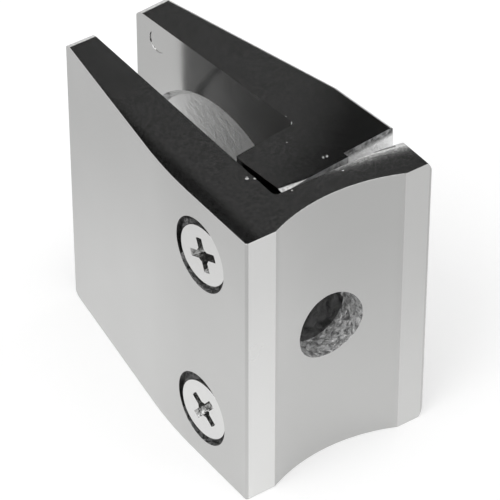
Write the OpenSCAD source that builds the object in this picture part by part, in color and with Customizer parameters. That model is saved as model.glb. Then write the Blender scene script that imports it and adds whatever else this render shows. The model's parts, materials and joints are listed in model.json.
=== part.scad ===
// Glass panel clamp for a round post: two L-shaped steel castings drawn together by two countersunk
// screws. The fixed half carries the mounting wall with its saddle for the post, and one cheek. The moving
// jaw carries the other cheek, and a foot that sits behind the wall and takes the screws.
//
// Frame: X runs across the glass, Y from the post into the clamp, Z up. The origin is on the axis of the
// bolt hole, at the bottom of the saddle, where the post touches it.

/* [Clamp] */
// Height of both halves, along the edge of the glass
clamp_h = 45; // [42:0.5:60]
// Width over both halves when they are closed, across the glass
clamp_w = 30.2; // [29.4:0.1:33]
// Depth from the mounting lands to the mouth
clamp_d = 50; // [49.4:0.2:56]
// Diameter of the post that the saddle fits
post_d = 50.8; // [42.4:0.1:76.1]
// Width of each flat land beside the saddle
land_w = 4.7; // [3.5:0.1:6]
// Thickness of the mounting wall, from the lands to its rear face
wall_t = 6.1; // [5.5:0.1:7]
// Diameter of the hole for the mounting bolt
bolt_hole_d = 10.4; // [8.4:0.1:12]

/* [Cheeks] */
// Thickness of the fixed cheek at its root
fixed_cheek_t = 8.8; // [8:0.1:9.6]
// Thickness of the jaw's cheek at its root
jaw_cheek_t = 9.7; // [9:0.1:10.4]
// Distance from the lands at which the outer faces start to taper
taper_start = 18.6; // [16:0.2:24]
// Angle of the taper towards the mouth
taper_deg = 8.5; // [2:0.1:9.5]
// Radius of the bend where the taper starts
bend_r = 72; // [20:1:100]
// Radius of the outer corners at the mouth
mouth_outer_r = 0.6; // [0.2:0.1:1.2]
// Radius of the inner corners at the mouth
mouth_inner_r = 0.3; // [0.1:0.05:0.6]
// Diameter of the pad recess in each cheek
pad_d = 32; // [26:0.5:32.5]
// Land left between the pad recess and the jaw's foot
pad_rim = 0.3; // [0.3:0.1:0.8]
// Depth of the pad recess, whose wall slopes at 45 degrees
pad_recess = 0.9; // [0.4:0.1:1.4]

/* [Foot of the jaw] */
// Gap between the foot and the fixed cheek when the jaw is square
foot_gap = 1.1; // [0.9:0.1:2]
// Thickness of the foot, behind the mounting wall, at its free end
foot_t = 9.6; // [8.6:0.1:11]
// Draft of the foot's front face
foot_draft_deg = 2.2; // [0:0.1:4]
// Distance from the foot's free end at which its rear face is relieved
seat_l = 11.4; // [9:0.1:14]
// Depth of that relief
relief = 1; // [0.3:0.1:1.6]
// Diameter of the hollow for the mounting bolt's head
bolt_head_d = 13; // [10:0.5:15]
// Depth of that hollow
bolt_head_h = 5.5; // [3:0.1:6.5]

/* [Clamp screws] */
// Diameter of the screws
screw_d = 5; // [4:0.1:5.2]
// Length of the screws
screw_l = 20; // [16:1:20]
// Size of the chamfer at the screws' tips
screw_tip = 0.6; // [0.2:0.1:1]
// Diameter of their countersunk heads
head_d = 9; // [8:0.1:9.6]
// Height of the straight rim round the heads
head_rim = 0.35; // [0.2:0.05:0.6]
// Width of the cross recess, tip to tip
cross_d = 5.3; // [3.5:0.1:5.6]
// Width of each slot of the cross recess
cross_w = 1.15; // [0.8:0.05:1.4]
// Depth of the cross recess
cross_depth = 2.6; // [1.5:0.1:3]
// Angle at which the tips of the cross recess slope inwards
cross_slope_deg = 26.5; // [15:0.5:27]
// Width across the core of the cross recess
cross_core = 2.3; // [1.8:0.1:2.6]
// Distance of the screws from the top and bottom faces
screw_edge = 8.9; // [7:0.1:10]
// Distance of the screws' pockets from the lands
pocket_y = 10.65; // [10:0.05:11.5]
// How much further the tapped holes sit, so that the screws pull the foot against the wall
tap_offset = 0.4; // [0:0.05:0.5]
// Diameter of the pockets for the screw heads
pocket_d = 11; // [10.6:0.1:12]
// Depth of the straight part of the pockets
pocket_h = 1; // [0.6:0.1:2]
// Diameter of the screws' clearance holes in the fixed cheek
clearance_d = 6.4; // [6.2:0.1:7]
// Radial clearance of the screws in the jaw's tapped holes
tap_clearance = 0.05; // [0.02:0.01:0.09]
// Length of the tapped holes past the screws' tips
tap_spare = 2; // [1:0.1:4]

/* [Loosened jaw] */
// Tilt of the loosened jaw about the heel of its foot
jaw_tilt = 4.96; // [0:0.02:5]
// Distance by which the loosened jaw stands out
jaw_out = 0.17; // [0:0.01:2]
// Gap between the heel and the mounting wall
heel_gap = 0.08; // [0.05:0.01:0.3]
// Depth of the upper screw's head below the cheek's face
upper_sink = 0.25; // [0:0.05:0.4]
// Depth of the lower screw's head below the cheek's face
lower_sink = 0.15; // [0:0.05:0.4]
// Turn of the upper screw's cross recess
upper_turn = 70.5; // [0:0.5:90]
// Turn of the lower screw's cross recess
lower_turn = 39; // [0:0.5:90]

/* [Cast and polished edges] */
// Radius of the sharp upright edges
edge_r = 0.4; // [0.2:0.1:0.6]
// Radius of the upright edge at the wall's free end
wall_end_r = 0.8; // [0.4:0.1:2]
// Radius of the upright edge at the jaw's outer rear corner
jaw_corner_r = 0.3; // [0.2:0.1:2.5]
// Radius to which the upper and lower edges at the mouth are polished over
mouth_roll_r = 1.7; // [0.5:0.1:2.2]
// Radius to which the jaw's outer upper and lower edges are polished over
jaw_roll_r = 0.7; // [0.3:0.1:1.5]
// Radius of the fillets in the inside corners
fillet_r = 0.8; // [0.3:0.1:0.9]
// Radius to which the wall's free end is polished over, at top and bottom
end_roll_r = 5.4; // [4:0.1:9]
// Height over which it is polished over
end_roll_h = 3.2; // [2:0.1:3.8]
// Radius of the edges that polishing rolled over behind the wall and on the heel of the foot
roll_r = 2.1; // [1.9:0.1:3]
// Angle at which that rolling runs into the edges behind the wall
wall_roll_deg = 10.5; // [5:0.5:12]
// Angle at which it runs into the edges of the heel
heel_roll_deg = 10; // [5:0.5:12]
// Length of the rolled edges of the heel
heel_roll_l = 7; // [5:0.5:8]
// Diameter of the ejector marks
mark_d = 3.4; // [2:0.1:4]
// Depth of the ejector marks
mark_depth = 0.12; // [0.05:0.01:0.3]
// Distance of the ejector marks from the mouth
mark_in = 4.8; // [2.6:0.1:5.4]
// Distance of the ejector marks from the top and bottom faces
mark_down = 3.1; // [2.6:0.1:4]

/* [Hidden] */
$fn = 128;

// How far the cutters reach past the faces that they cut
past = 2;
// Overlap of the cutters where two of them meet
lap = 0.05;
// What the roundings have over their own radius, so that they meet the edges at an angle
hair = 0.002;

post_r = post_d / 2;
half_chord = clamp_w / 2 - land_w;
saddle_depth = post_r - sqrt(post_r * post_r - half_chord * half_chord);
top = clamp_h / 2;
bolt_x = clamp_w / 2;
screw_z = top - screw_edge;

// The jaw is drawn square to the fixed half, and then loosened about its heel
foot_x = fixed_cheek_t + foot_gap;
jaw_face_x = clamp_w - jaw_cheek_t;
jaw_rear_y = wall_t + relief;
foot_front_y = wall_t + foot_t;
foot_root_y = foot_front_y + (jaw_face_x - foot_x) * tan(foot_draft_deg);

mouth_inset = (clamp_d - taper_start) * tan(taper_deg);
pad_r = pad_d / 2;
pad_y = foot_root_y + pad_rim + pad_r;

tap_y = pocket_y + tap_offset;
tap_d = screw_d + 2 * tap_clearance;
cone_h = (head_d - screw_d) / 2;

// Where a screw's head lies along X in the square jaw, for a given depth below the tilted face
function head_x(sink) =
    foot_x + (sink - foot_x - jaw_out + (tap_y - wall_t) * sin(jaw_tilt)) / cos(jaw_tilt);

// ---- shared shapes ----

// Moves a shape drawn from the lands and the fixed cheek's face into the part's own frame
module placed() {
    translate([-clamp_w / 2, -saddle_depth, 0]) children();
}

// Loosens the square jaw, and what is screwed into it
module loosened() {
    translate([foot_x + jaw_out, wall_t + heel_gap, 0])
        rotate([0, 0, jaw_tilt])
            translate([-foot_x, -wall_t, 0])
                children();
}

function unit(a) = [cos(a), sin(a)];

// Half of the angle between the two edges that leave a corner along the directions a and b
function half_angle(a, b) = acos(unit(a) * unit(b)) / 2;

// Centre of the circle that rounds a corner at p
function centre(p, a, b, r) =
    p + (unit(a) + unit(b)) / norm(unit(a) + unit(b)) * r / sin(half_angle(a, b));

// Point at which that circle touches the edge along a
function touch(p, a, b, r) = p + unit(a) * r / tan(half_angle(a, b));

// Points of an outline that go round an inside corner by way of the centre of its fillet
function inside(p, a, b, r) = [touch(p, a, b, r), centre(p, a, b, r), touch(p, b, a, r)];

// What is cut from such an outline to leave the fillet
module fillet(p, a, b, r) {
    translate(centre(p, a, b, r)) circle(r + hair);
}

// What is cut from an outside corner to round it
module rounding(p, a, b, r) {
    c = centre(p, a, b, r);
    reach = (r + lap) / r;
    difference() {
        translate(c)
            polygon([
                [0, 0], reach * (touch(p, a, b, r) - c), reach * (p - c),
                reach * (touch(p, b, a, r) - c)
            ]);
        translate(c) circle(r + hair);
    }
}

module upright(h = clamp_h) {
    linear_extrude(h, center = true) children();
}

module both_ends() {
    children();
    mirror([0, 0, 1]) children();
}

// Cuts the round pad recess, and the ejector marks, into a cheek whose inner face is at x.
// side is 1 where the metal lies at higher x, and -1 where it lies at lower x.
module inner_face_cuts(x, side) {
    translate([x, pad_y, 0])
        rotate([0, side * 90, 0])
            translate([0, 0, -lap])
                cylinder(h = pad_recess + lap, r1 = pad_r + lap, r2 = pad_r - pad_recess);
    both_ends()
        translate([x, clamp_d - mark_in, top - mark_down])
            rotate([0, side * 90, 0])
                translate([0, 0, -past])
                    cylinder(h = mark_depth + past, d = mark_d);
}

// Takes off what lies outside an edge that was rolled over in polishing. The cut starts at p on the top
// face, and runs into the metal along the direction a, to a distance l; what it removes is on its left.
module rolled_edge(p, a, l, r) {
    translate([p[0], p[1], top])
        rotate([0, 0, a])
            difference() {
                translate([0, 0, -r]) cube([l + past, r + past, r + past]);
                translate([-past, 0, -r])
                    rotate([0, 90, 0])
                        cylinder(h = l + 3 * past, r = r + hair);
            }
}

// Rounds the whole of a straight top edge that starts at p and runs along the direction a, with the metal
// on its right
module round_edge(p, a, l, r) {
    rolled_edge(p + r * unit(a - 90) - past * unit(a), a, l + past, r);
}

// Rounds the top and bottom edges across the mouth
module mouth_rolls() {
    both_ends() round_edge([0, clamp_d], 0, clamp_w, mouth_roll_r);
}

// ---- fixed half ----

module fixed_outline() {
    mouth_left = [mouth_inset, clamp_d];
    mouth_right = [fixed_cheek_t, clamp_d];
    root = [fixed_cheek_t, wall_t];
    difference() {
        polygon(concat(
            [[0, 0], [clamp_w, 0], [clamp_w, wall_t]],
            inside(root, 0, 90, fillet_r),
            [mouth_right, mouth_left, [0, taper_start]]
        ));
        fillet(root, 0, 90, fillet_r);
        rounding([0, 0], 0, 90, edge_r);
        rounding([clamp_w, 0], 90, 180, wall_end_r);
        rounding([clamp_w, wall_t], -90, 180, edge_r);
        rounding(mouth_right, -90, 180, mouth_inner_r);
        rounding(mouth_left, 0, -90 - taper_deg, mouth_outer_r);
        rounding([0, taper_start], -90, 90 - taper_deg, bend_r);
    }
}

// Countersunk pocket and clearance hole through the cheek, with its axis along X
module screw_pocket() {
    cone = (pocket_d - clearance_d) / 2;
    rotate([0, 90, 0]) {
        translate([0, 0, -past]) cylinder(h = past + pocket_h, d = pocket_d);
        translate([0, 0, pocket_h]) cylinder(h = cone, d1 = pocket_d, d2 = clearance_d);
        cylinder(h = fixed_cheek_t + past, d = clearance_d);
    }
}

// The polished-over end of the mounting wall
module wall_end_roll() {
    translate([clamp_w - end_roll_r, 0, top - end_roll_h])
        difference() {
            translate([0, -past, 0])
                cube([end_roll_r + past, wall_t + 2 * past, end_roll_h + past]);
            translate([0, wall_t + 2 * past, 0])
                rotate([90, 0, 0])
                    cylinder(h = wall_t + 4 * past, r = end_roll_r);
        }
}

module fixed_half() {
    wall_roll_x = foot_x + seat_l;
    color("#c2c4c6")
        placed()
            difference() {
                upright() fixed_outline();
                translate([bolt_x, saddle_depth - post_r, 0])
                    cylinder(h = clamp_h + 2 * past, r = post_r, center = true);
                translate([bolt_x, -past, 0])
                    rotate([-90, 0, 0])
                        cylinder(h = wall_t + 2 * past, d = bolt_hole_d);
                both_ends() translate([0, pocket_y, screw_z]) screw_pocket();
                inner_face_cuts(fixed_cheek_t, -1);
                mouth_rolls();
                both_ends() wall_end_roll();
                both_ends()
                    rolled_edge([wall_roll_x, wall_t], -wall_roll_deg, clamp_w - wall_roll_x, roll_r);
            }
}

// ---- moving jaw ----

module jaw_outline() {
    mouth_left = [jaw_face_x, clamp_d];
    mouth_right = [clamp_w - mouth_inset, clamp_d];
    root = [jaw_face_x, foot_root_y];
    step_x = foot_x + seat_l;
    difference() {
        polygon(concat(
            [
                [foot_x, wall_t], [step_x, wall_t], [step_x, jaw_rear_y], [clamp_w, jaw_rear_y],
                [clamp_w, taper_start], mouth_right, mouth_left
            ],
            inside(root, 90, 180 + foot_draft_deg, fillet_r),
            [[foot_x, foot_front_y]]
        ));
        fillet(root, 90, 180 + foot_draft_deg, fillet_r);
        rounding([foot_x, wall_t], 0, 90, edge_r);
        rounding([clamp_w, jaw_rear_y], 90, 180, jaw_corner_r);
        rounding([clamp_w, taper_start], -90, 90 + taper_deg, bend_r);
        rounding(mouth_right, 180, taper_deg - 90, mouth_outer_r);
        rounding(mouth_left, -90, 0, mouth_inner_r);
        rounding([foot_x, foot_front_y], -90, foot_draft_deg, edge_r);
    }
}

// Hollow for the head of the mounting bolt, open to the rear and to the fixed cheek
module bolt_head_hollow() {
    r = bolt_head_d / 2;
    translate([bolt_x, wall_t - past, 0])
        rotate([-90, 0, 0])
            cylinder(h = bolt_head_h + past, r = r);
    translate([foot_x - past, wall_t - past, -r])
        cube([bolt_x - foot_x + past, bolt_head_h + past, bolt_head_d]);
}

// Blind tapped hole, drilled from the foot's free end to past the tip of its screw
module tapped_hole(sink) {
    tip = head_x(sink) + screw_l + tap_spare;
    translate([foot_x - past, tap_y, 0])
        rotate([0, 90, 0])
            cylinder(h = tip - foot_x + past, d = tap_d);
}

module moving_jaw() {
    color("#babcbe")
        placed()
            loosened()
                difference() {
                    upright() jaw_outline();
                    bolt_head_hollow();
                    translate([0, 0, screw_z]) tapped_hole(upper_sink);
                    translate([0, 0, -screw_z]) tapped_hole(lower_sink);
                    inner_face_cuts(jaw_face_x, 1);
                    mouth_rolls();
                    both_ends() round_edge([clamp_w, clamp_d], -90, clamp_d, jaw_roll_r);
                    both_ends()
                        round_edge([clamp_w - mouth_inset, clamp_d], taper_deg - 90, clamp_d, jaw_roll_r);
                    both_ends()
                        rolled_edge(
                            [foot_x + heel_roll_l, wall_t], 180 - heel_roll_deg, heel_roll_l, roll_r
                        );
                }
}

// ---- clamp screws ----

// Cross recess: two tapering slots and a small square core, drawn down the screw's axis
module cross_recess() {
    slope = cross_depth * tan(cross_slope_deg);
    intersection() {
        translate([0, 0, -lap])
            cylinder(h = cross_depth + lap, d1 = cross_d, d2 = cross_d - 2 * slope + lap);
        union() {
            for (turn = [0, 90])
                rotate([0, 0, turn])
                    translate([-cross_d / 2, -cross_w / 2, -past])
                        cube([cross_d, cross_w, cross_depth + past + lap]);
            rotate([0, 0, 45])
                translate([-cross_core / 2, -cross_core / 2, -past])
                    cube([cross_core, cross_core, cross_depth + past + lap]);
        }
    }
}

// Countersunk screw along Z, with its head's face at the origin
module screw() {
    difference() {
        rotate_extrude()
            polygon([
                [0, 0], [head_d / 2, 0], [head_d / 2, head_rim], [screw_d / 2, head_rim + cone_h],
                [screw_d / 2, screw_l - screw_tip], [screw_d / 2 - screw_tip, screw_l], [0, screw_l]
            ]);
        cross_recess();
    }
}

module clamp_screw(z, sink, turn) {
    color("#cfd1d2")
        placed()
            loosened()
                translate([head_x(sink), tap_y, z])
                    rotate([0, 90, 0])
                        rotate([0, 0, turn])
                            screw();
}

module screw_upper() clamp_screw(screw_z, upper_sink, upper_turn);

module screw_lower() clamp_screw(-screw_z, lower_sink, lower_turn);

fixed_half();
moving_jaw();
screw_upper();
screw_lower();
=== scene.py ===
"""Looks of the glass panel clamp: two stainless castings and two countersunk screws."""

import json
import math

import bmesh
import bpy
from mathutils import Matrix, Vector


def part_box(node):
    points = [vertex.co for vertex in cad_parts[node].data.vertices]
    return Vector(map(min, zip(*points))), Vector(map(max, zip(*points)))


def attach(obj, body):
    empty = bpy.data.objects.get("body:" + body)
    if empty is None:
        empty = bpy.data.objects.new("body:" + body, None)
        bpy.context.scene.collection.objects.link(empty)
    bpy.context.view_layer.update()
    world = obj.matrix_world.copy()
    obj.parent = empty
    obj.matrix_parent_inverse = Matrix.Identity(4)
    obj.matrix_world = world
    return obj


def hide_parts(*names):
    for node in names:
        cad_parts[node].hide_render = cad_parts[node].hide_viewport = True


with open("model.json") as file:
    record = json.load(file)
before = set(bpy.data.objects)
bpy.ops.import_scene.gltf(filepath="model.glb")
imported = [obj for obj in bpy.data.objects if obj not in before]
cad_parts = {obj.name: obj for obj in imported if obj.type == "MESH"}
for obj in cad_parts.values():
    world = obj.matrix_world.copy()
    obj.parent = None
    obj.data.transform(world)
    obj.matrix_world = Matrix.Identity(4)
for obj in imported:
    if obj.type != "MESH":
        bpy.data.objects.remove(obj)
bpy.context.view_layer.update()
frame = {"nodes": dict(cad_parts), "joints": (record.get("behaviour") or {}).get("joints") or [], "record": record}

MM = 0.001

# ---- sizes of the castings and the screws, as in the part's source ----

SCREW_D = 5.0 * MM
SCREW_L = 20.0 * MM
HEAD_H = 2.35 * MM
POCKET_R = 5.5 * MM
PAD_RECESS = 0.9 * MM

# An M5 coarse thread, which the source leaves to this script
THREAD_PITCH = 0.8 * MM
THREAD_DEPTH = 0.43 * MM

# ---- places read from the frame ----

JOINTS = {joint["name"]: joint for joint in frame["joints"]}
MOUNTS = {mount["name"]: mount for mount in frame["record"]["mounts"]}
SLIDE_AXIS = Vector(JOINTS["jaw_slide"]["axis"])
JAW_TILT = math.atan2(SLIDE_AXIS.y, SLIDE_AXIS.x)
# Turns the loosened jaw square to the fixed half
SQUARE = Matrix.Rotation(-JAW_TILT, 3, "Z")
HEAD_CENTRES = {
    "screw_upper": Vector(JOINTS["screw_upper_turn"]["pos_m"]),
    "screw_lower": Vector(JOINTS["screw_lower_turn"]["pos_m"]),
}
FIXED_LOW, FIXED_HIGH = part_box("fixed_half")
TOP = FIXED_HIGH.z
BOLT_HOLE_R = MOUNTS["bolt_hole"]["dims"]["r_mm"] * MM
# The square jaw's inner face. Its mount lies deeper, on the floor of the pad recess
JAW_FACE_X = (SQUARE @ Vector(MOUNTS["jaw_glass_face"]["pos_m"])).x - PAD_RECESS

# ---- edges ----

# Rounding that polishing left on the edges of the ends, and on the other outer edges
EDGE_BREAK = 0.10 * MM
FINE_EDGE_BREAK = 0.04 * MM
# Faces that meet at a larger angle than this make a hard edge
HARD_EDGE = math.radians(28)


# ---- small helpers ----

def linear(hex_colour):
    """An sRGB hex colour as linear red, green, blue and alpha."""
    channels = [int(hex_colour[i : i + 2], 16) / 255 for i in (1, 3, 5)]
    return [c / 12.92 if c <= 0.04045 else ((c + 0.055) / 1.055) ** 2.4 for c in channels] + [1]


def add(tree, kind, values=None, links=None, **settings):
    """Adds a node with its settings, the values of its sockets, and the outputs that feed them."""
    node = tree.nodes.new(kind)
    for name, value in settings.items():
        setattr(node, name, value)
    for socket, value in (values or {}).items():
        node.inputs[socket].default_value = value
    for socket, output in (links or {}).items():
        tree.links.new(output, node.inputs[socket])
    return node


def new_material(name):
    """An empty node material, and its tree."""
    material = bpy.data.materials.new(name)
    material.use_nodes = True
    material.node_tree.nodes.clear()
    return material, material.node_tree


# ---- finishes ----

def polished_stainless(name, colour, roughness):
    """Stainless steel polished on a felt wheel: smooth and a little wavy, with soft clouds in its
    gloss."""
    # Clouds lie where the wheel pressed harder. Waves are as high as this at the very most
    cloud_spacing, gloss_change = 18 * MM, 0.04
    wave_length, wave_height = 10 * MM, 0.10 * MM
    material, tree = new_material(name)
    place = add(tree, "ShaderNodeTexCoord").outputs["Object"]
    clouds = add(
        tree, "ShaderNodeTexNoise", {"Scale": 1 / cloud_spacing, "Detail": 2}, {"Vector": place}
    )
    gloss = add(
        tree, "ShaderNodeMapRange",
        {
            "From Min": 0.3, "From Max": 0.7,
            "To Min": roughness - gloss_change, "To Max": roughness + gloss_change,
        },
        {"Value": clouds.outputs["Fac"]},
    )
    waves = add(
        tree, "ShaderNodeTexNoise", {"Scale": 1 / wave_length, "Detail": 1}, {"Vector": place}
    )
    bump = add(
        tree, "ShaderNodeBump", {"Strength": 1, "Distance": wave_height},
        {"Height": waves.outputs["Fac"]},
    )
    shader = add(
        tree, "ShaderNodeBsdfPrincipled", {"Metallic": 1, "Base Color": linear(colour)},
        {"Roughness": gloss.outputs[0], "Normal": bump.outputs[0]},
    )
    add(tree, "ShaderNodeOutputMaterial", links={"Surface": shader.outputs[0]})
    return material


def share_along(tree, place, direction, start, end):
    """How far a place lies from start to end along a direction, in mm, from 0 to 1."""
    along = add(tree, "ShaderNodeVectorMath", {1: direction}, {0: place}, operation="DOT_PRODUCT")
    return add(
        tree, "ShaderNodeMapRange", {"From Min": start * MM, "From Max": end * MM},
        {"Value": along.outputs["Value"]},
    ).outputs[0]


def buffed_ends(name, falls, nicks):
    """Buffed stainless steel: a near mirror with fine grain and a few nicks. Each fall is
    (direction, start, end, drop, gate): the wheel let the face fall away by the drop from start to
    end, more and more steeply, and only as far as the gate lets it, which is None or (direction,
    start, end). Each nick is (spot, radius, depth). All lengths are in mm."""
    # The real grain is finer, and would be too fine to show
    grain_size, grain_height = 0.4 * MM, 0.005
    wave_length, wave_height = 11 * MM, 0.12
    steepening = 2.0
    material, tree = new_material(name)
    place = add(tree, "ShaderNodeTexCoord").outputs["Object"]
    grain = add(
        tree, "ShaderNodeTexNoise", {"Scale": 1 / grain_size, "Detail": 2, "Roughness": 0.6},
        {"Vector": place},
    )
    waves = add(
        tree, "ShaderNodeTexNoise", {"Scale": 1 / wave_length, "Detail": 1}, {"Vector": place}
    )
    height = add(
        tree, "ShaderNodeMath", {1: grain_height}, {0: grain.outputs["Fac"]}, operation="MULTIPLY"
    ).outputs[0]
    height = add(
        tree, "ShaderNodeMath", {1: wave_height}, {0: waves.outputs["Fac"], 2: height},
        operation="MULTIPLY_ADD",
    ).outputs[0]
    for direction, start, end, drop, gate in falls:
        share = share_along(tree, place, direction, start, end)
        curve = add(
            tree, "ShaderNodeMath", {1: steepening}, {0: share}, operation="POWER"
        ).outputs[0]
        if gate:
            curve = add(
                tree, "ShaderNodeMath", links={0: curve, 1: share_along(tree, place, *gate)},
                operation="MULTIPLY",
            ).outputs[0]
        height = add(
            tree, "ShaderNodeMath", {1: -drop}, {0: curve, 2: height}, operation="MULTIPLY_ADD"
        ).outputs[0]
    for spot, radius, depth in nicks:
        away = add(
            tree, "ShaderNodeVectorMath", {1: Vector(spot) * MM}, {0: place}, operation="DISTANCE"
        )
        dent = add(
            tree, "ShaderNodeMapRange",
            {"From Min": 0, "From Max": radius * MM, "To Min": -depth, "To Max": 0},
            {"Value": away.outputs["Value"]}, interpolation_type="SMOOTHSTEP",
        )
        height = add(
            tree, "ShaderNodeMath", links={0: height, 1: dent.outputs[0]}, operation="ADD"
        ).outputs[0]
    face = add(tree, "ShaderNodeBump", {"Strength": 1, "Distance": 1 * MM}, {"Height": height})
    tint = add(
        tree, "ShaderNodeMapRange", {"From Min": 0.35, "From Max": 0.65},
        {"Value": grain.outputs["Fac"]},
    )
    colour = add(
        tree, "ShaderNodeMixRGB", {"Color1": linear("#b4b4b3"), "Color2": linear("#d6d6d5")},
        {"Fac": tint.outputs[0]},
    )
    shader = add(
        tree, "ShaderNodeBsdfPrincipled", {"Metallic": 1, "Roughness": 0.15},
        {"Base Color": colour.outputs[0], "Normal": face.outputs[0]},
    )
    add(tree, "ShaderNodeOutputMaterial", links={"Surface": shader.outputs[0]})
    return material


def as_cast_stainless(name, dark, light, lump, depth, metallic, pale_below=None):
    """Investment-cast stainless steel left as cast: coarse and uneven, with lumps of the given size
    and depth. Its skin scatters light, so it is drawn a little less metallic than the polished
    faces. Deeper below the ends than the last argument's depth, the colour turns white. Lengths are
    in mm."""
    # A cell of the noise is this many times as wide as the lump that shows in it
    noise_per_lump = 1.6
    # The white part fades in over this far, along an edge this ragged
    fade, ragged = 0.6, 1.2
    material, tree = new_material(name)
    place = add(tree, "ShaderNodeTexCoord").outputs["Object"]
    grain = add(
        tree, "ShaderNodeTexNoise",
        {
            "Scale": 1 / (noise_per_lump * lump * MM), "Detail": 4, "Roughness": 0.6,
            "Distortion": 0.5,
        },
        {"Vector": place},
    )
    shade = add(
        tree, "ShaderNodeMapRange", {"From Min": 0.35, "From Max": 0.62},
        {"Value": grain.outputs["Fac"]},
    )
    colour = add(
        tree, "ShaderNodeMixRGB", {"Color1": linear(dark), "Color2": linear(light)},
        {"Fac": shade.outputs[0]},
    )
    # Deeper than the given depth below the ends the colour turns white, and it stays darker in the band at the
    # ends
    if pale_below:
        spot = add(tree, "ShaderNodeSeparateXYZ", links={0: place})
        height = add(tree, "ShaderNodeMath", links={0: spot.outputs["Z"]}, operation="ABSOLUTE")
        edge = add(
            tree, "ShaderNodeMath", {1: ragged * MM},
            {0: grain.outputs["Fac"], 2: height.outputs[0]}, operation="MULTIPLY_ADD",
        )
        ground = add(
            tree, "ShaderNodeMapRange",
            {"From Min": TOP - (pale_below - fade) * MM, "From Max": TOP - pale_below * MM},
            {"Value": edge.outputs[0]},
        )
        colour = add(
            tree, "ShaderNodeMixRGB", {"Color2": linear("#ffffff")},
            {"Fac": ground.outputs[0], "Color1": colour.outputs[0]},
        )
    bump = add(
        tree, "ShaderNodeBump", {"Strength": 1, "Distance": depth * MM},
        {"Height": grain.outputs["Fac"]},
    )
    shader = add(
        tree, "ShaderNodeBsdfPrincipled", {"Metallic": metallic, "Roughness": 0.4},
        {"Base Color": colour.outputs[0], "Normal": bump.outputs[0]},
    )
    add(tree, "ShaderNodeOutputMaterial", links={"Surface": shader.outputs[0]})
    return material


def recess_stainless():
    """Floor of the pad recess: cast stainless steel, brushed over, so it is dull, with pits and
    streaks that are twice as long as they are wide."""
    streak_width, streak_depth, lengthwise = 0.8 * MM, 0.13 * MM, (1, 0.5, 1)
    material, tree = new_material("brushed_cast_recess")
    place = add(tree, "ShaderNodeTexCoord").outputs["Object"]
    streaks_at = add(tree, "ShaderNodeMapping", {"Scale": lengthwise}, {"Vector": place})
    streaks = add(
        tree, "ShaderNodeTexNoise", {"Scale": 1 / streak_width, "Detail": 4, "Roughness": 0.7},
        {"Vector": streaks_at.outputs[0]},
    )
    bump = add(
        tree, "ShaderNodeBump", {"Strength": 1, "Distance": streak_depth},
        {"Height": streaks.outputs["Fac"]},
    )
    shader = add(
        tree, "ShaderNodeBsdfPrincipled",
        {"Metallic": 0.85, "Base Color": linear("#f0f0ef"), "Roughness": 0.42},
        {"Normal": bump.outputs[0]},
    )
    add(tree, "ShaderNodeOutputMaterial", links={"Surface": shader.outputs[0]})
    return material


def cold_headed_steel(name, colour, grain_width, depth):
    """Cold-headed stainless steel of a screw: brighter than the castings, with an orange-peel grain
    of the given width and depth in mm."""
    material, tree = new_material(name)
    place = add(tree, "ShaderNodeTexCoord").outputs["Object"]
    grain = add(
        tree, "ShaderNodeTexNoise", {"Scale": 1 / (grain_width * MM), "Detail": 3},
        {"Vector": place},
    )
    bump = add(
        tree, "ShaderNodeBump", {"Strength": 1, "Distance": depth * MM},
        {"Height": grain.outputs["Fac"]},
    )
    shader = add(
        tree, "ShaderNodeBsdfPrincipled",
        {"Metallic": 1, "Base Color": linear(colour), "Roughness": 0.2},
        {"Normal": bump.outputs[0]},
    )
    add(tree, "ShaderNodeOutputMaterial", links={"Surface": shader.outputs[0]})
    return material


# The cheeks' outer faces and the saddle are polished. The narrow lands beside the saddle were
# linished on a belt, so they are duller. Their paler colour, paler on the left land than on the
# right, is painted light for the bright floor they face. The inside of the jaw is the glossiest
SIDES = polished_stainless("polished_stainless_sides", "#bbbbba", 0.20)
# Painted light: the lands' pale colours stand for the bright floor they face, the left land paler than the right
LEFT_LAND = polished_stainless("linished_stainless_left_land_painted_light", "#dadad9", 0.30)
RIGHT_LAND = polished_stainless("linished_stainless_right_land_painted_light", "#cacac9", 0.30)
INNER = polished_stainless("polished_stainless_inside", "#bfbfbe", 0.12)
# The tops and bottoms are buffed, and the nicks are on top, at 22.5 mm
FIXED_ENDS = buffed_ends(
    "buffed_ends_fixed_half",
    [
        ((-1, 0, 0), 11.5, 15.1, 0.35, None),
        ((0.16, 0.987, 0), 1.6, 6.2, 0.34, ((1, 0, 0), -3, 4)),
    ],
    [
        ((-6.29, 8.34, 22.5), 0.30, 0.06), ((-7.15, 8.94, 22.5), 0.35, 0.07),
        ((4.09, 3.10, 22.5), 0.18, 0.03), ((-3.79, 3.54, 22.5), 0.20, 0.03),
    ],
)
JAW_ENDS = buffed_ends(
    "buffed_ends_jaw",
    [((0.6, -0.8, 0), -11, 4, 1.45, None)],
    [
        ((4.11, 6.69, 22.5), 0.28, 0.04), ((3.55, 6.75, 22.5), 0.25, 0.04),
        ((3.74, 16.37, 22.5), 0.18, 0.02), ((4.68, 16.77, 22.5), 0.16, 0.02),
        ((1.53, 12.13, 22.5), 0.16, 0.02), ((2.9, 15.5, 22.5), 0.14, 0.02),
    ],
)
# The bore is drawn the brightest of the cast faces: its pale colour, up to white, is painted light
# for the light that falls into the hole. The screw pockets' near-black colour is painted shade in
# their hollows. The faces that hide inside the clamp have their own cast skin, and their darker
# colour is painted shade between the parts. The relief in the jaw's rear is darker within about a
# millimetre of the ends and white below
# Painted light: the bore's pale colour, up to white, stands for the light falling into the hole
BORE = as_cast_stainless("as_cast_bore_painted_light", "#8a8a8a", "#ffffff", 0.45, 0.7, 0.55)
# Painted shade: the pockets' near-black colour stands for the shade in the hollows round the screw heads
POCKETS_PAINTED_SHADE = as_cast_stainless("as_cast_pockets_painted_shade", "#343434", "#9c9c9c", 0.5, 0.5, 0.8)
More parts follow.
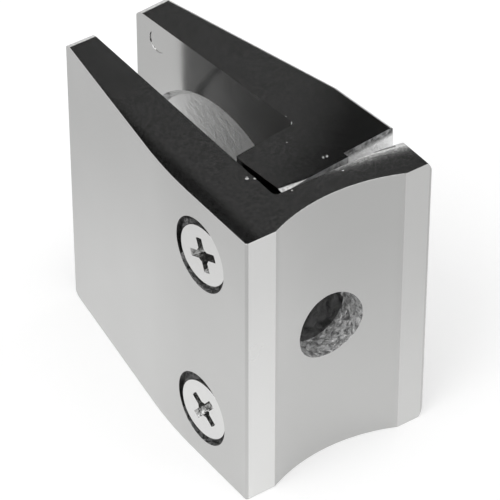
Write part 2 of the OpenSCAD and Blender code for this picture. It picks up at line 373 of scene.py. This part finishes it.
# The lumpy cast skin is the faces' own. Their darker colour is painted shade between the parts
HIDDEN = as_cast_stainless("as_cast_inside_painted_shade", "#6c6c6c", "#bcbcbc", 1.0, 0.6, 0.7)
RELIEF = as_cast_stainless("as_cast_relief", "#4c4c4c", "#b4b4b4", 0.5, 0.35, 0.6, pale_below=0.9)
# The fixed cheek's inner face was ground, and its pad recess with it
CHEEK = polished_stainless("ground_stainless_cheek", "#767676", 0.25)
RECESS = recess_stainless()
# The punch left the walls of the cross recess rougher than the head, and their darker colour
# is painted shade in the recess
SCREW_STEEL = cold_headed_steel("cold_headed_screw_stainless", "#d4d4d3", 0.6, 0.02)
CROSS = cold_headed_steel("punched_cross_recess_painted_shade", "#a8a8a7", 0.9, 0.35)
FINISHES = [
    SIDES, LEFT_LAND, RIGHT_LAND, INNER, FIXED_ENDS, JAW_ENDS, BORE, POCKETS_PAINTED_SHADE, HIDDEN, RELIEF, CHEEK,
    RECESS,
]
# Finishes of the large flat faces, which flatten() shades dead flat
FLAT_FINISHES = [
    LEFT_LAND, RIGHT_LAND, INNER, FIXED_ENDS, JAW_ENDS, HIDDEN, RELIEF, CHEEK, RECESS,
]


# ---- castings ----

def merged_copy(node, name):
    """A copy of a CAD node's mesh with its triangles joined and its flat faces made whole."""
    same_corner, same_plane = 0.0005 * MM, math.radians(0.05)
    mesh = frame["nodes"][node].data.copy()
    mesh.name = name
    mesh.materials.clear()
    form = bmesh.new()
    form.from_mesh(mesh)
    bmesh.ops.remove_doubles(form, verts=form.verts, dist=same_corner)
    bmesh.ops.dissolve_limit(
        form, angle_limit=same_plane, verts=form.verts, edges=form.edges,
        use_dissolve_boundaries=False,
    )
    form.to_mesh(mesh)
    form.free()
    piece = bpy.data.objects.new(name, mesh)
    bpy.context.scene.collection.objects.link(piece)
    return piece


def off_axis(point, on_axis, direction):
    """Distance of a point from the line through on_axis along a direction."""
    along = direction.normalized()
    offset = point - on_axis
    return (offset - along * offset.dot(along)).length


# Where each finish and each kind of edge starts and stops on the castings
ACROSS, OUT_OF_POST = Vector((1, 0, 0)), Vector((0, 1, 0))
BORE_REACH = BOLT_HOLE_R + 0.1 * MM
POCKET_REACH = POCKET_R + 0.3 * MM
CHEEK_MAX_X = -2 * MM
OUTER_FACE_MAX_X = FIXED_LOW.x + 0.5 * MM
EDGE_SLACK = 0.01 * MM
LAND_MAX_Y = FIXED_LOW.y + EDGE_SLACK
WALL_MAX_Y = 5 * MM
END_DEPTH = 4 * MM
POST_EDGE_MAX_X, POST_EDGE_MAX_Y = 11 * MM, 1 * MM
SCREW_EDGE_MAX_X, SCREW_EDGE_MAX_Y = -12 * MM, 45 * MM
# The same on the jaw, when it is square
JAW_OUTER_MIN_X = 12 * MM
JAW_MOUTH_MIN_Y = 40 * MM
JAW_RELIEF_MIN_X = 5.6 * MM
JAW_FOOT_MAX_Y = 12 * MM
JAW_RECESS_MIN_X = JAW_FACE_X + 0.3 * MM
# How squarely a face has to look in a direction to count as facing it: dead straight, or steeply
# enough to be the upper or lower edge of a rolled-over end
STRAIGHT = 0.999
END_LEAN = 0.2


def is_end(centre, normal):
    """Whether a face belongs to the top or bottom, with its rolled-over edges."""
    return abs(centre.z) > TOP - END_DEPTH and abs(normal.z) > END_LEAN


def fixed_finish(centre, normal):
    """The finish of a face of the fixed half, from its place and direction."""
    # The bore takes the pale finish, with its painted light
    if off_axis(centre, Vector((0, 0, 0)), OUT_OF_POST) < BORE_REACH:
        return BORE
    # Faces of the pockets round the screw heads take the near-black finish, painted shade in the hollows
    for head in HEAD_CENTRES.values():
        if centre.x < CHEEK_MAX_X and off_axis(centre, head, ACROSS) < POCKET_REACH:
            return POCKETS_PAINTED_SHADE if normal.x > -STRAIGHT or centre.x > OUTER_FACE_MAX_X else SIDES
    if is_end(centre, normal):
        return FIXED_ENDS
    if normal.x > 0.5 and centre.x < 0:
        return CHEEK
    # The wall's face behind the jaw takes the darker inside finish, painted shade between the parts
    if normal.y > 0.5 and centre.y < WALL_MAX_Y:
        return HIDDEN
    # The flat lands beside the saddle take the paler finishes, with their painted light
    if normal.y < -STRAIGHT and centre.y < LAND_MAX_Y:
        return LEFT_LAND if centre.x < 0 else RIGHT_LAND
    return SIDES


def jaw_finish(centre, normal):
    """The finish of a face of the jaw, from its place and direction."""
    if is_end(centre, normal):
        return JAW_ENDS
    looks, spot = SQUARE @ normal, SQUARE @ centre
    if looks.x > 0.3 and spot.x > JAW_OUTER_MIN_X:
        return SIDES
    if looks.y > 0.9 and spot.y > JAW_MOUTH_MIN_Y:
        return SIDES
    if looks.y < -0.5 and spot.x > JAW_RELIEF_MIN_X:
        return RELIEF
    # Faces in the jaw's foot take the darker inside finish, painted shade between the parts
    if looks.y < -0.5 or abs(looks.z) > END_LEAN and spot.y < JAW_FOOT_MAX_Y:
        return HIDDEN
    if looks.x < -0.6 and spot.x > JAW_RECESS_MIN_X:
        return RECESS
    return INNER


def edge_width(edge):
    """How far the edge of a casting is rounded here. Only the edges beside the post and round the
    screws' face are. The jaw, the mouth and the wall's far end have rolled edges of their own
    already, and the slot's edges are left sharp."""
    middle = (edge.verts[0].co + edge.verts[1].co) / 2
    at_post = middle.y < POST_EDGE_MAX_Y and middle.x < POST_EDGE_MAX_X
    at_screws = middle.x < SCREW_EDGE_MAX_X and middle.y < SCREW_EDGE_MAX_Y
    if edge.calc_face_angle(0) < HARD_EDGE or not (at_post or at_screws):
        return 0
    on_end = abs(middle.z) > TOP - EDGE_SLACK
    return EDGE_BREAK if on_end else FINE_EDGE_BREAK


def has_room(edge, width):
    """Whether the faces beside an edge are wide enough for it to be rounded by this width."""
    room, slack = 2.5 * width, 0.001 * MM
    start, end = [vertex.co for vertex in edge.verts]
    along = (end - start).normalized()
    length = (end - start).length
    for face in edge.link_faces:
        for vertex in face.verts:
            offset = vertex.co - start
            reach = offset.dot(along)
            beside = -slack < reach < length + slack and vertex not in edge.verts
            if beside and (offset - along * reach).length < room:
                return False
    return True


def break_edges(piece, finish_of):
    """Gives each face its finish, rounds the sharp outer edges a little, and turns both into a
    plain mesh."""
    mesh = piece.data
    low, high = [Vector(corner) for corner in bounds_of(mesh)]
    for material in FINISHES:
        mesh.materials.append(material)
    for face in mesh.polygons:
        face.material_index = FINISHES.index(finish_of(face.center, face.normal))
        face.use_smooth = True
    form = bmesh.new()
    form.from_mesh(mesh)
    weight = form.edges.layers.float.new("bevel_weight_edge")
    for edge in form.edges:
        if len(edge.link_faces) == 2:
            width = edge_width(edge)
            if not has_room(edge, width):
                width = 0
            edge[weight] = width / EDGE_BREAK
            edge.smooth = width > 0 or edge.calc_face_angle(0) < HARD_EDGE
    form.to_mesh(mesh)
    form.free()
    bevel = piece.modifiers.new("edge_break", "BEVEL")
    bevel.limit_method = "WEIGHT"
    bevel.offset_type = "OFFSET"
    bevel.width = EDGE_BREAK
    bevel.segments = 3
    bevel.use_clamp_overlap = False
    shading = piece.modifiers.new("flat_faces_stay_flat", "WEIGHTED_NORMAL")
    shading.mode = "FACE_AREA"
    shading.weight = 100
    shading.keep_sharp = True
    plain(piece)
    # Where three rounded edges meet, a corner can overshoot by a hair
    for vertex in piece.data.vertices:
        for axis in range(3):
            vertex.co[axis] = min(max(vertex.co[axis], low[axis]), high[axis])
    flatten(piece.data)
    return piece


def flatten(mesh):
    """Shades the large flat faces of a casting dead flat, right up to their sharp edges."""
    # Faces are taken as one plane when their direction and their level round to the same step
    direction_steps, level_step = 500, 0.02 * MM
    large_area = 25 * MM * MM
    flat = [FINISHES.index(finish) for finish in FLAT_FINISHES]
    planes = {}
    for face in mesh.polygons:
        if face.material_index in flat:
            offset = face.normal.dot(face.center)
            direction = tuple(round(part * direction_steps) for part in face.normal)
            key = direction + (round(offset / level_step),)
            planes.setdefault(key, []).append(face)
    normals = [list(corner.vector) for corner in mesh.corner_normals]
    for faces in planes.values():
        area = sum(face.area for face in faces)
        if area > large_area:
            middle = sum((face.normal * face.area for face in faces), Vector()).normalized()
            for face in faces:
                for corner in face.loop_indices:
                    normals[corner] = middle
    mesh.normals_split_custom_set(normals)


def bounds_of(mesh):
    """The lowest and highest corners of a mesh's box."""
    spots = [vertex.co for vertex in mesh.vertices]
    return (
        [min(spot[axis] for spot in spots) for axis in range(3)],
        [max(spot[axis] for spot in spots) for axis in range(3)],
    )


def plain(piece):
    """Turns what a piece's modifiers make into its own mesh."""
    graph = bpy.context.evaluated_depsgraph_get()
    graph.update()
    mesh = bpy.data.meshes.new_from_object(
        piece.evaluated_get(graph), preserve_all_data_layers=True, depsgraph=graph
    )
    mesh.name = piece.name
    piece.modifiers.clear()
    piece.data = mesh
    return piece


fixed_casting = break_edges(merged_copy("fixed_half", "fixed_casting"), fixed_finish)
jaw_casting = break_edges(merged_copy("moving_jaw", "jaw_casting"), jaw_finish)


# ---- screws ----

def thread_tree():
    """Geometry Nodes: a rolled thread wound from a grid, with its sizes as inputs."""
    same_corner = 0.001 * MM
    tree = bpy.data.node_groups.new("rolled_thread", "GeometryNodeTree")
    face = tree.interface
    face.new_socket("Geometry", in_out="OUTPUT", socket_type="NodeSocketGeometry")
    for name in ("Radius", "Depth", "Pitch", "Start", "End", "Run Out"):
        face.new_socket(name, in_out="INPUT", socket_type="NodeSocketFloat")
    for name in ("Rings", "Sides"):
        face.new_socket(name, in_out="INPUT", socket_type="NodeSocketInt")
    face.new_socket("Finish", in_out="INPUT", socket_type="NodeSocketMaterial")
    given = add(tree, "NodeGroupInput").outputs

    grid = add(
        tree, "GeometryNodeMeshGrid", {"Size X": 1, "Size Y": 1},
        {"Vertices X": given["Rings"], "Vertices Y": given["Sides"]},
    )
    corner = add(tree, "GeometryNodeInputPosition").outputs[0]
    spot = add(tree, "ShaderNodeSeparateXYZ", links={0: corner}).outputs
    # Each row makes one value: its name, the operation, and what goes in, by name or as a number
    sums = [
        ("share", "ADD", "X", 0.5),
        ("turn", "ADD", "Y", 0.5),
        ("length", "SUBTRACT", "End", "Start"),
        ("along", "MULTIPLY_ADD", "share", "length", "Start"),
        ("angle", "MULTIPLY", "turn", 2 * math.pi),
        # Height of the thread here: a triangle wave that moves one pitch along in each turn, cut
        # off for the flat root
        ("pitches", "DIVIDE", "along", "Pitch"),
        ("wind", "ADD", "pitches", "turn"),
        ("phase", "FRACT", "wind"),
        ("doubled", "MULTIPLY", "phase", 2.0),
        ("centred", "SUBTRACT", "doubled", 1.0),
        ("dip", "ABSOLUTE", "centred"),
        ("steeper", "MULTIPLY", "dip", 1.2),
        ("rise", "MINIMUM", "steeper", 1.0),
        # The thread fades in over the run-out below the head
        ("below_head", "SUBTRACT", "along", "Start"),
        ("faded", "DIVIDE", "below_head", "Run Out"),
        ("from_none", "MAXIMUM", "faded", 0.0),
        ("fade", "MINIMUM", "from_none", 1.0),
        ("cut", "MULTIPLY", "Depth", "rise"),
        ("depth", "MULTIPLY", "cut", "fade"),
        # The last pitch narrows to the tip
        ("to_tip", "SUBTRACT", "End", "along"),
        ("pitches_left", "DIVIDE", "to_tip", "Pitch"),
        ("capped", "MINIMUM", "pitches_left", 1.0),
        ("taper", "SUBTRACT", 1.0, "capped"),
        ("threaded", "SUBTRACT", "Radius", "depth"),
        ("narrowing", "MULTIPLY", "taper", "Depth"),
        ("radius", "SUBTRACT", "threaded", "narrowing"),
        ("cosine", "COSINE", "angle"),
        ("across", "MULTIPLY", "radius", "cosine"),
        ("sine", "SINE", "angle"),
        ("up", "MULTIPLY", "radius", "sine"),
    ]
    found = {"X": spot["X"], "Y": spot["Y"]}
    for name in ("Radius", "Depth", "Pitch", "Start", "End", "Run Out"):
        found[name] = given[name]
    for name, operation, *terms in sums:
        numbers = {i: term for i, term in enumerate(terms) if not isinstance(term, str)}
        named = {i: found[term] for i, term in enumerate(terms) if isinstance(term, str)}
        node = add(tree, "ShaderNodeMath", numbers, named, operation=operation)
        found[name] = node.outputs[0]
    where = add(
        tree, "ShaderNodeCombineXYZ",
        links={"X": found["across"], "Y": found["up"], "Z": found["along"]},
    )
    wound = add(
        tree, "GeometryNodeSetPosition",
        links={"Geometry": grid.outputs["Mesh"], "Position": where.outputs[0]},
    )
    closed = add(
        tree, "GeometryNodeMergeByDistance", {"Distance": same_corner},
        {"Geometry": wound.outputs[0]},
    )
    smooth = add(tree, "GeometryNodeSetShadeSmooth", links={"Geometry": closed.outputs[0]})
    real = add(tree, "GeometryNodeRealizeInstances", links={"Geometry": smooth.outputs[0]})
    finished = add(
        tree, "GeometryNodeSetMaterial",
        links={"Geometry": real.outputs[0], "Material": given["Finish"]},
    )
    add(tree, "NodeGroupOutput", links={"Geometry": finished.outputs[0]})
    return tree


THREAD = thread_tree()


def wound_thread(name):
    """The threaded shank along Z, from under the head to the tip."""
    # The crests keep clear of the tapped hole, and the thread starts inside the head
    crest_ease, into_head = 0.02 * MM, 0.1 * MM
    piece = bpy.data.objects.new(name, bpy.data.meshes.new(name))
    bpy.context.scene.collection.objects.link(piece)
    winding = piece.modifiers.new("winding", "NODES")
    winding.node_group = THREAD
    sizes = {
        "Radius": SCREW_D / 2 - crest_ease, "Depth": THREAD_DEPTH, "Pitch": THREAD_PITCH,
        "Start": HEAD_H - into_head, "End": SCREW_L, "Run Out": THREAD_PITCH,
        "Rings": 360, "Sides": 49, "Finish": SCREW_STEEL,
    }
    for socket in THREAD.interface.items_tree:
        if socket.in_out == "INPUT":
            winding[socket.identifier] = sizes[socket.name]
    return plain(piece)


def dressed_screw(node):
    """The screw's head from the CAD, with its edges softened, on a threaded shank."""
    # The CAD shank is cut off this far below the head, and the cross recess reaches this far from
    # the axis and starts this far below the head's face
    shank_left, cross_reach, cross_start = 0.05 * MM, 2.7 * MM, 0.03 * MM
    head = merged_copy(node, node + "_steel")
    centre = HEAD_CENTRES[node]
    mesh = head.data
    mesh.materials.append(SCREW_STEEL)
    form = bmesh.new()
    form.from_mesh(mesh)
    # The plain shank goes; the head stays down to where the thread starts
    bmesh.ops.bisect_plane(
        form, geom=form.verts[:] + form.edges[:] + form.faces[:], dist=0.0001 * MM,
        plane_co=centre + SLIDE_AXIS * (HEAD_H + shank_left), plane_no=SLIDE_AXIS,
        clear_outer=True,
    )
    weight = form.edges.layers.float.new("bevel_weight_edge")
    for edge in form.edges:
        if len(edge.link_faces) == 2 and edge.calc_face_angle(0) > HARD_EDGE:
            edge[weight] = 1
    form.to_mesh(mesh)
    form.free()
    mesh.materials.append(CROSS)
    for face in mesh.polygons:
        face.use_smooth = True
        depth = (face.center - centre).dot(SLIDE_AXIS)
        inward = face.normal.dot(SLIDE_AXIS) < 0.01
        in_reach = off_axis(face.center, centre, SLIDE_AXIS) < cross_reach
        # Walls of the cross recess take the darker finish, painted shade in the recess
        if inward and depth > cross_start and in_reach:
            face.material_index = 1
    bevel = head.modifiers.new("edge_break", "BEVEL")
    bevel.limit_method = "WEIGHT"
    bevel.width = FINE_EDGE_BREAK
    bevel.segments = 2
    bevel.use_clamp_overlap = False
    shading = head.modifiers.new("flat_faces_stay_flat", "WEIGHTED_NORMAL")
    shading.weight = 100
    shading.keep_sharp = False
    plain(head)
    shank = wound_thread(node + "_thread")
    along = SLIDE_AXIS.to_track_quat("Z", "Y").to_matrix().to_4x4()
    shank.data.transform(Matrix.Translation(centre) @ along)
    joined = bmesh.new()
    joined.from_mesh(head.data)
    joined.from_mesh(shank.data)
    joined.to_mesh(head.data)
    joined.free()
    bpy.data.objects.remove(shank)
    return head


screws = {node: dressed_screw(node) for node in ("screw_upper", "screw_lower")}


# ---- how the pieces ride on the frame ----

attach(fixed_casting, "fixed_half")
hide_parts("fixed_half")
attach(jaw_casting, "jaw")
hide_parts("moving_jaw")
for node, screw in screws.items():
    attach(screw, node)
    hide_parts(node)


# ---- floor, cards, light and camera ----

def staged_plane(name, width, height, material, place):
    """A plane of the set, put at a place given as a matrix."""
    form = bmesh.new()
    bmesh.ops.create_grid(form, x_segments=1, y_segments=1, size=0.5)
    mesh = bpy.data.meshes.new(name)
    form.to_mesh(mesh)
    form.free()
    mesh.transform(place @ Matrix.Diagonal((width, height, 1, 1)))
    mesh.materials.append(material)
    piece = bpy.data.objects.new(name, mesh)
    bpy.context.scene.collection.objects.link(piece)
    return piece


def facing(position, target):
    """A matrix that puts something at a position with its -Z towards a target, upright."""
    turn = (target - position).to_track_quat("-Z", "Y").to_matrix().to_4x4()
    return Matrix.Translation(position) @ turn


CAMERA_POSITION = Vector((-217.83, -292.26, 317.07)) * MM
CAMERA_TARGET = Vector((-5.02, 11.29, 7.64)) * MM
CAMERA_LENS_MM = 260.0
SENSOR_MM = 36.0
# The clamp's middle, between the post and the mouth
MIDDLE_Y = 20 * MM


def floor_material():
    """A pale matt floor that the camera sees as white, with its shadow kept. The polished steel
    sees its glow too, close to the clamp, and further off the floor's own pale colour."""
    steel_glow, glow_full_to, glow_gone_at = 0.32, 20 * MM, 75 * MM
    camera_glow = 0.26
    material, tree = new_material("pale_matt_floor")
    matt = add(
        tree, "ShaderNodeBsdfPrincipled",
        {"Base Color": linear("#e8e8e8"), "Roughness": 0.9, "Specular IOR Level": 0},
    )
    path = add(tree, "ShaderNodeLightPath").outputs
    place = add(tree, "ShaderNodeTexCoord").outputs["Object"]
    away = add(
        tree, "ShaderNodeVectorMath", {1: Vector((0, MIDDLE_Y, FIXED_LOW.z))}, {0: place},
        operation="DISTANCE",
    )
    pool = add(
        tree, "ShaderNodeMapRange",
        {"From Min": glow_full_to, "From Max": glow_gone_at, "To Min": steel_glow, "To Max": 0},
        {"Value": away.outputs["Value"]}, interpolation_type="SMOOTHSTEP",
    )
    to_steel = add(
        tree, "ShaderNodeMath", links={0: path["Is Glossy Ray"], 1: pool.outputs[0]},
        operation="MULTIPLY",
    )
    lift = add(
        tree, "ShaderNodeMath", {1: camera_glow},
        {0: path["Is Camera Ray"], 2: to_steel.outputs[0]}, operation="MULTIPLY_ADD",
    )
    glow = add(
        tree, "ShaderNodeEmission", {"Color": linear("#ffffff")}, {"Strength": lift.outputs[0]}
    )
    both = add(tree, "ShaderNodeAddShader", links={0: matt.outputs[0], 1: glow.outputs[0]})
    add(tree, "ShaderNodeOutputMaterial", links={"Surface": both.outputs[0]})
    return material


FLOOR_WIDTH = 4.0
staged_plane(
    "floor", FLOOR_WIDTH, FLOOR_WIDTH, floor_material(), Matrix.Translation((0, 0, FIXED_LOW.z))
)

# A dark card stands where the level ends look, so that their polish shows dark. It ends low enough
# for the rolled-over edges to see the white below it. Its sizes and distance are in metres
CARD_WIDTH, CARD_HEIGHT, CARD_RAISE, CARD_DISTANCE = 0.64, 0.40, 0.065, 0.7
ENDS_AT = Vector((0, MIDDLE_Y, TOP))
looking = (CAMERA_TARGET - CAMERA_POSITION).normalized()
mirrored = Vector((looking.x, looking.y, -looking.z))
CARD_AT = ENDS_AT + mirrored * CARD_DISTANCE


def card_material():
    """Matt card, graded from grey near its middle to black towards its rim, at these distances in
    metres."""
    grey_raise, grey_to, black_from = 0.02, 0.03, 0.15
    material, tree = new_material("graded_matt_card")
    place = add(tree, "ShaderNodeTexCoord").outputs["Object"]
    away = add(
        tree, "ShaderNodeVectorMath", {1: CARD_AT + Vector((0, 0, grey_raise))}, {0: place},
        operation="DISTANCE",
    )
    share = add(
        tree, "ShaderNodeMapRange", {"From Min": grey_to, "From Max": black_from},
        {"Value": away.outputs["Value"]}, interpolation_type="SMOOTHSTEP",
    )
    colour = add(
        tree, "ShaderNodeMixRGB", {"Color1": linear("#464646"), "Color2": linear("#0a0a0a")},
        {"Fac": share.outputs[0]},
    )
    matt = add(
        tree, "ShaderNodeBsdfPrincipled", {"Roughness": 0.9, "Specular IOR Level": 0},
        {"Base Color": colour.outputs[0]},
    )
    add(tree, "ShaderNodeOutputMaterial", links={"Surface": matt.outputs[0]})
    return material


upward = facing(CARD_AT, ENDS_AT).to_3x3() @ Vector((0, 1, 0))
staged_plane(
    "dark_card", CARD_WIDTH, CARD_HEIGHT, card_material(),
    facing(CARD_AT + upward * CARD_RAISE, ENDS_AT + upward * CARD_RAISE),
)

world = bpy.data.worlds.new("studio")
bpy.context.scene.world = world
world.use_nodes = True
world.node_tree.nodes.clear()
surround = add(
    world.node_tree, "ShaderNodeBackground", {"Color": linear("#ffffff"), "Strength": 1.0}
)
add(world.node_tree, "ShaderNodeOutputWorld", links={"Surface": surround.outputs[0]})

SOFTBOX_AT = Vector((-0.9, -0.2, 1.1))
SOFTBOX_SIZE, SOFTBOX_WATTS = 0.8, 4
softbox = bpy.data.lights.new("softbox", "AREA")
softbox.shape = "RECTANGLE"
softbox.size = SOFTBOX_SIZE
softbox.size_y = SOFTBOX_SIZE
softbox.energy = SOFTBOX_WATTS
softbox_object = bpy.data.objects.new("softbox", softbox)
softbox_object.matrix_world = facing(SOFTBOX_AT, Vector((0, 0, 0)))
bpy.context.scene.collection.objects.link(softbox_object)

camera = bpy.data.cameras.new("camera")
camera.lens = CAMERA_LENS_MM
camera.sensor_width = SENSOR_MM
camera.clip_start = 0.01
camera_object = bpy.data.objects.new("camera", camera)
camera_object.matrix_world = facing(CAMERA_POSITION, CAMERA_TARGET)
bpy.context.scene.collection.objects.link(camera_object)
bpy.context.scene.camera = camera_object
bpy.context.scene.view_settings.view_transform = "Standard"
